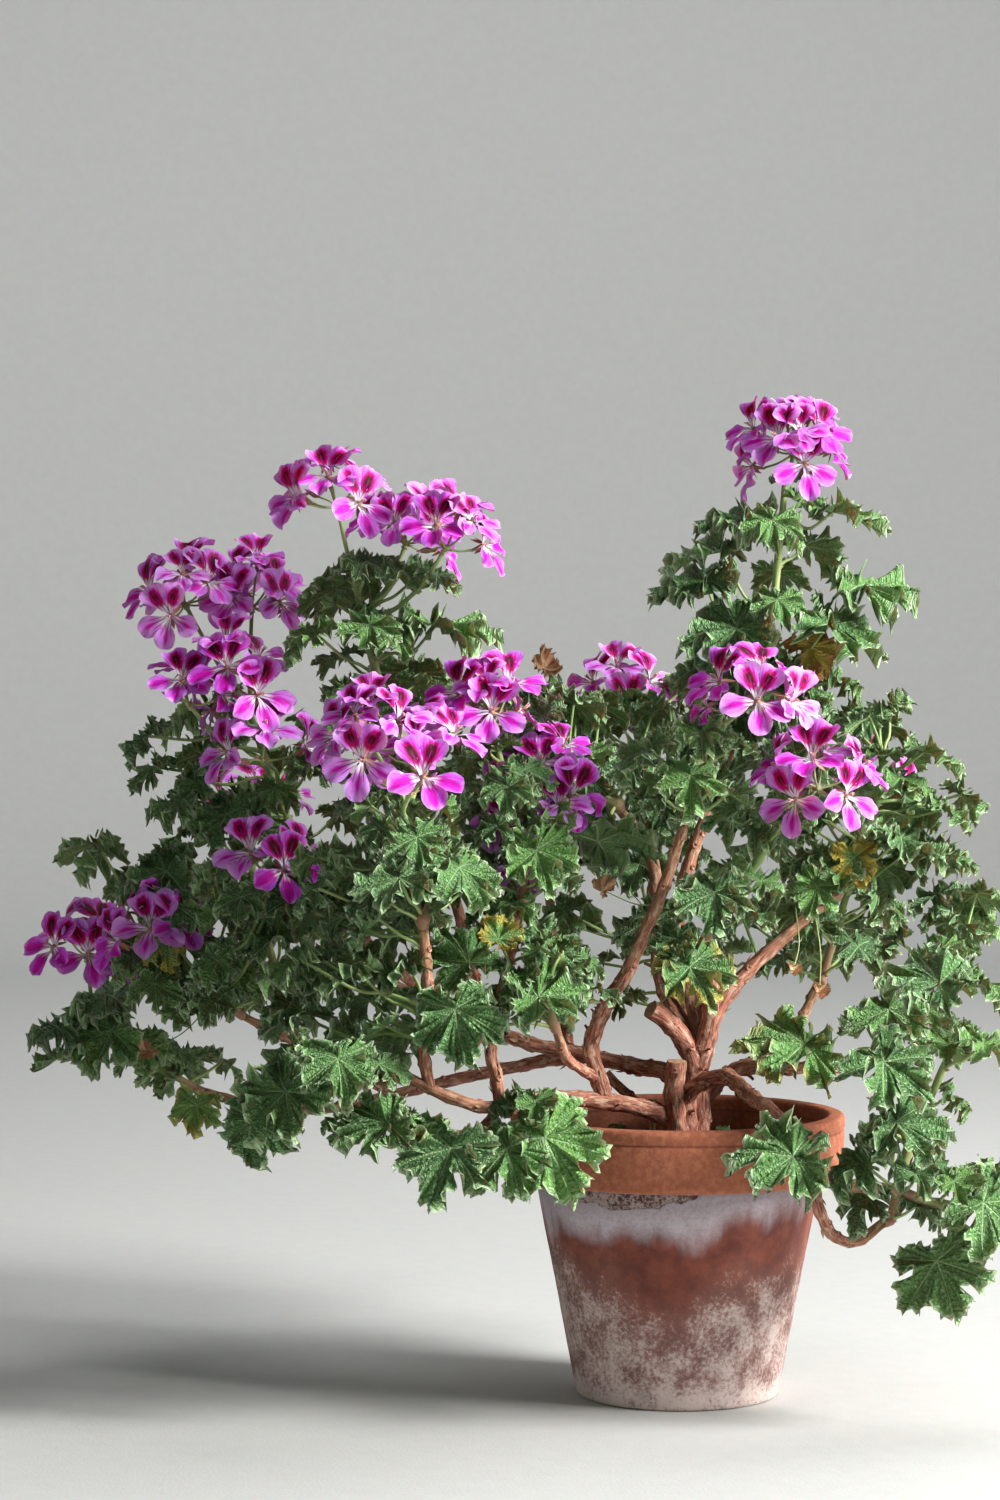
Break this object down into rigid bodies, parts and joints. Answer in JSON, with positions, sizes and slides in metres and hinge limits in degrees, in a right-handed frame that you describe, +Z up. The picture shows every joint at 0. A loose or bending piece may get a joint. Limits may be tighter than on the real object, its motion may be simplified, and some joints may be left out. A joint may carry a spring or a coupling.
{
  "type": "potted geranium",
  "caption": "Old woody regal geranium with crisp lobed leaves and two-tone magenta flower heads, standing in a weathered clay pot filled with soil.",
  "frame": {"origin": "centre of the pot's flat foot, on the surface that it stands on", "axes": "+Z up the pot's axis, -Y towards the viewer of the plant's best side, +X to that viewer's right"},
  "size_m": [0.7014, 0.4408, 0.6686],
  "materials": {
    "terracotta": "unglazed weathered clay, orange-brown rim, pale lime and lichen crust on the body",
    "soil": "moist crumbly potting soil",
    "bark": "rough reddish-brown bark with leaf scars",
    "leaf": "matt hairy leaf, dark green above and paler below, with pale crisped edges",
    "petal": "silky petal, magenta with pale edges and dark blotches on the upper two"
  },
  "bodies": {
    "root": {"pot": "terracotta", "soil": "soil", "woody_stems": "bark", "shoot_top_right": "leaf", "shoot_centre": "leaf", "shoot_diagonal": "leaf", "shoot_right": "leaf", "shoot_right_back": "leaf", "shoot_right_low": "leaf", "shoot_front_right": "leaf", "shoot_trail_right": "leaf", "shoot_back": "leaf", "shoot_centre_left": "leaf", "shoot_knee": "leaf", "shoot_front_low": "leaf", "shoot_front_left": "leaf", "shoot_left_tall": "leaf", "shoot_left_mid": "leaf", "shoot_left": "leaf", "shoot_left_outer": "leaf", "shoot_left_back": "leaf", "shoot_left_trail": "leaf", "shoot_low_left": "leaf", "shoot_rim_left": "leaf", "shoot_rim_front": "leaf", "shoot_back_left_tall": "leaf", "bloom_top_right": "petal", "bloom_left_high": "petal", "bloom_left_high_middle": "petal", "bloom_left_high_right": "petal", "bloom_left_far": "petal", "bloom_left_far_right": "petal", "bloom_left_upper": "petal", "bloom_left_upper_low": "petal", "bloom_left_small": "petal", "bloom_left_centre": "petal", "bloom_left_centre_right": "petal", "bloom_left_drooping": "petal", "bloom_centre_high": "petal", "bloom_centre_left": "petal", "bloom_centre_low": "petal", "bloom_left_middle": "petal", "bloom_left_low": "petal", "bloom_left_edge": "petal", "bloom_right_centre": "petal", "bloom_right": "petal", "bloom_back_middle": "petal", "bloom_back_right": "petal", "bloom_back_left": "petal", "bloom_back_left_low": "petal"}
  },
  "joints": []
}
